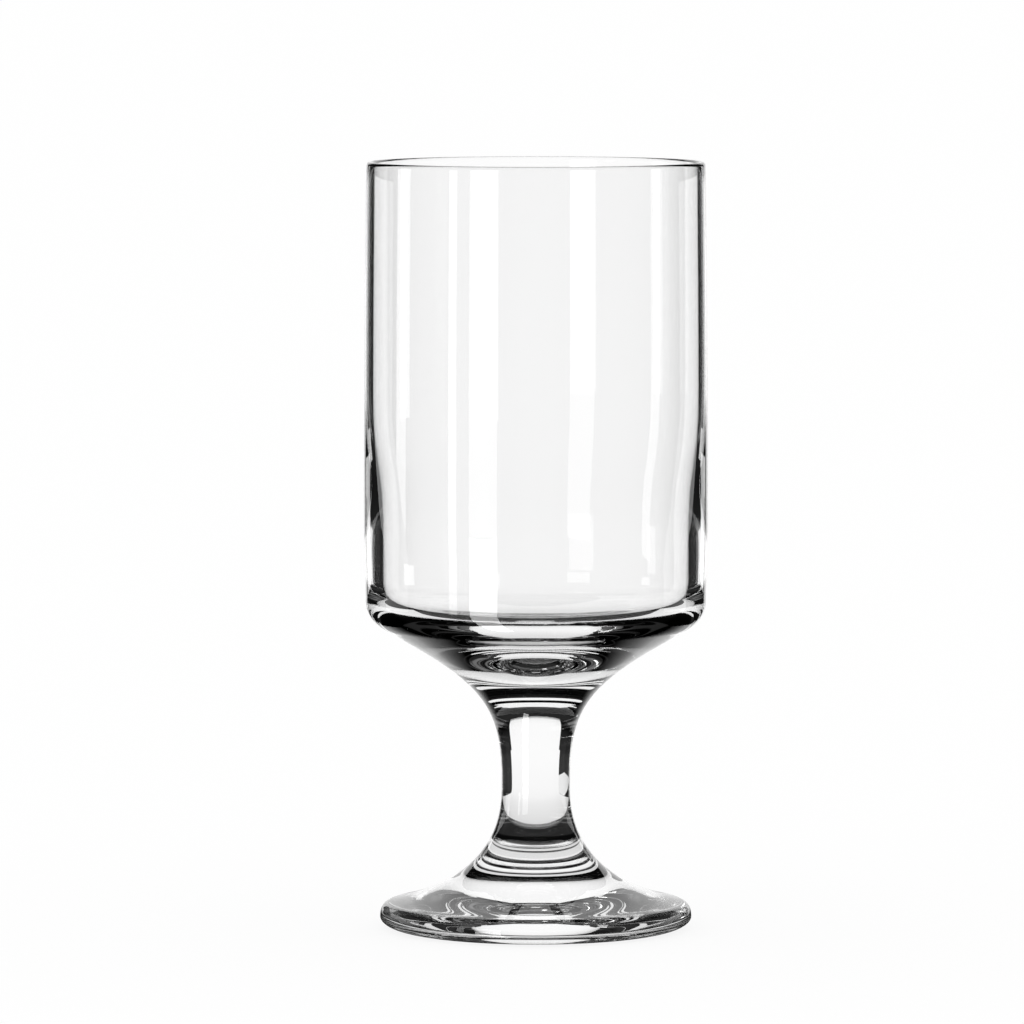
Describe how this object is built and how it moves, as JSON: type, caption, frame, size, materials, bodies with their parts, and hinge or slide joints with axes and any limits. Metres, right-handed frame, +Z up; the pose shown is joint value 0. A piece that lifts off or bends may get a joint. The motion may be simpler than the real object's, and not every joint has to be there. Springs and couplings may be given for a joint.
{
  "type": "stemmed glass",
  "caption": "Clear stemmed drinking glass: barrel-sided bowl with a heavy solid base, short waisted stem and flared round foot.",
  "frame": {"origin": "middle of the foot, on the surface that the glass stands on", "axes": "+Z up along the axis that every piece is turned about; X and Y are alike because the glass is round"},
  "size_m": [0.0728, 0.0728, 0.163],
  "materials": {
    "foot_glass": "pressed soda-lime glass, fire-polished",
    "stem_glass": "drawn soda-lime glass, fire-polished",
    "bowl_glass": "blown soda-lime glass, fire-polished"
  },
  "bodies": {
    "root": {"foot": "foot_glass", "stem": "stem_glass", "bowl": "bowl_glass"}
  },
  "joints": []
}
